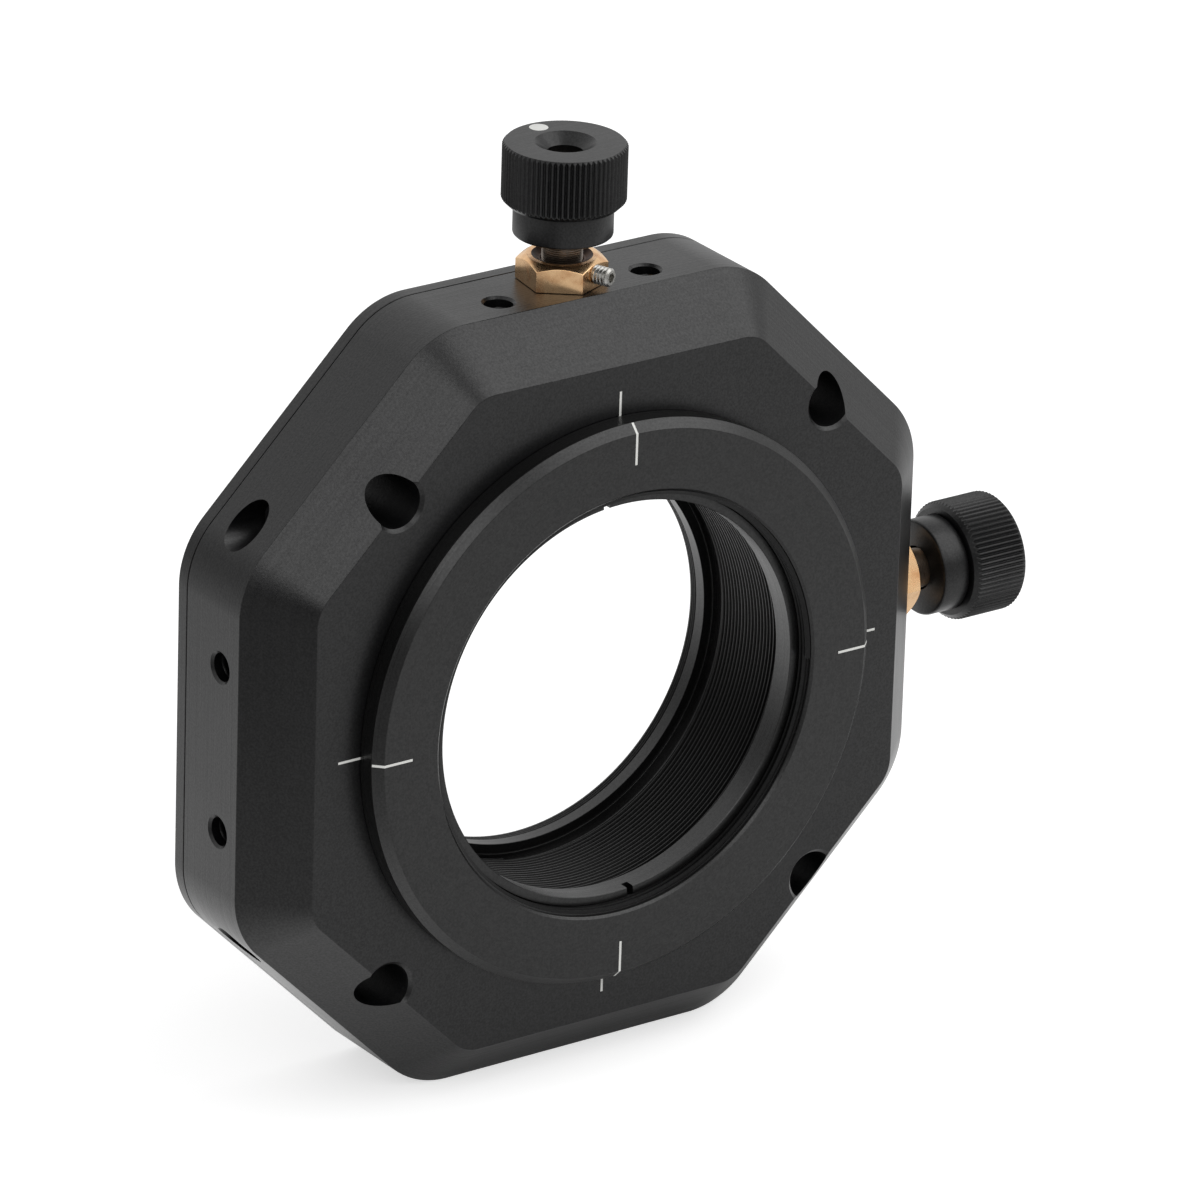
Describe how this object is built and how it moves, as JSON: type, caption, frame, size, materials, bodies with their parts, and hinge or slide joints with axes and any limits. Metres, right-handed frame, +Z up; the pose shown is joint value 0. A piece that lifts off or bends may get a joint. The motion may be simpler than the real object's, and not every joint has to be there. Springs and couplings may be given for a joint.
{
  "type": "xy translation cage mount",
  "caption": "Octagonal mount for a 60 mm cage whose threaded lens cell is moved up, down and sideways by two knurled fine adjusters against return springs",
  "frame": {"origin": "on the bottom flat, midway between its two tapped holes, under the optical axis", "axes": "optical axis along Y with the front facing -Y, +Z up, +X to the right seen from the front"},
  "size_m": [0.111, 0.023, 0.1109],
  "materials": {
    "anodised_black": "matte black anodised aluminium, fine milling marks",
    "phosphor_bronze": "turned copper-red phosphor bronze",
    "bright_steel": "stainless steel, ground or turned",
    "black_screw": "black oxide screw steel",
    "acetal": "natural acetal"
  },
  "bodies": {
    "body": {"housing": "anodised_black", "rear_cover": "anodised_black", "glide_ring": "acetal", "cover_screw_1": "black_screw", "cover_screw_2": "black_screw", "cover_screw_3": "black_screw", "cover_screw_4": "black_screw", "rod_lock_screw_1": "black_screw", "rod_lock_screw_2": "black_screw", "rod_lock_screw_3": "black_screw", "rod_lock_screw_4": "black_screw", "x_bushing": "phosphor_bronze", "x_bushing_screw": "bright_steel", "x_return_spring": "bright_steel", "z_bushing": "phosphor_bronze", "z_bushing_screw": "bright_steel", "z_return_spring": "bright_steel"},
    "cross_slide": {"cross_slide": "bright_steel"},
    "stage": {"lens_cell": "anodised_black", "retaining_ring": "anodised_black", "drive_ring": "anodised_black", "cell_screw_1": "black_screw", "cell_screw_2": "black_screw", "cell_screw_3": "black_screw", "cell_screw_4": "black_screw", "x_contact_pad": "bright_steel", "z_contact_pad": "bright_steel"},
    "x_nose": {"x_thrust_ball": "bright_steel"},
    "x_adjuster": {"x_adjuster_screw": "bright_steel", "x_knob": "anodised_black"},
    "x_plunger": {"x_plunger": "bright_steel"},
    "z_nose": {"z_thrust_ball": "bright_steel"},
    "z_adjuster": {"z_adjuster_screw": "bright_steel", "z_knob": "anodised_black"},
    "z_plunger": {"z_plunger": "bright_steel"}
  },
  "joints": [
    {"name": "x_slide", "type": "slide", "parent": "body", "child": "cross_slide", "axis": [1, 0, 0], "range_m": [-0.001, 0.001]},
    {"name": "z_slide", "type": "slide", "parent": "cross_slide", "child": "stage", "axis": [0, 0, 1], "range_m": [-0.001, 0.001]},
    {"name": "x_nose_slide", "type": "slide", "parent": "body", "child": "x_nose", "axis": [1, 0, 0], "range_m": [-0.001, 0.001]},
    {"name": "x_knob_turn", "type": "hinge", "parent": "x_nose", "child": "x_adjuster", "pos_m": [0, 0.00219, 0.04705], "axis": [1, 0, 0], "range_deg": [-1417.5, 1417.5]},
    {"name": "x_plunger_slide", "type": "slide", "parent": "body", "child": "x_plunger", "axis": [1, 0, 0], "range_m": [-0.001, 0.001], "deforming": ["x_return_spring"]},
    {"name": "z_nose_slide", "type": "slide", "parent": "body", "child": "z_nose", "axis": [0, 0, 1], "range_m": [-0.001, 0.001]},
    {"name": "z_knob_turn", "type": "hinge", "parent": "z_nose", "child": "z_adjuster", "pos_m": [0, 0.00219, 0.04705], "axis": [0, 0, 1], "range_deg": [-1417.5, 1417.5]},
    {"name": "z_plunger_slide", "type": "slide", "parent": "body", "child": "z_plunger", "axis": [0, 0, 1], "range_m": [-0.001, 0.001], "deforming": ["z_return_spring"]}
  ],
  "couplings": [
    {"joint": "x_knob_turn", "follows": "x_slide", "rad_per_m": 24737},
    {"joint": "x_nose_slide", "follows": "x_slide", "ratio": 1},
    {"joint": "x_plunger_slide", "follows": "x_slide", "ratio": 1},
    {"joint": "z_knob_turn", "follows": "z_slide", "rad_per_m": 24737},
    {"joint": "z_nose_slide", "follows": "z_slide", "ratio": 1},
    {"joint": "z_plunger_slide", "follows": "z_slide", "ratio": 1}
  ]
}
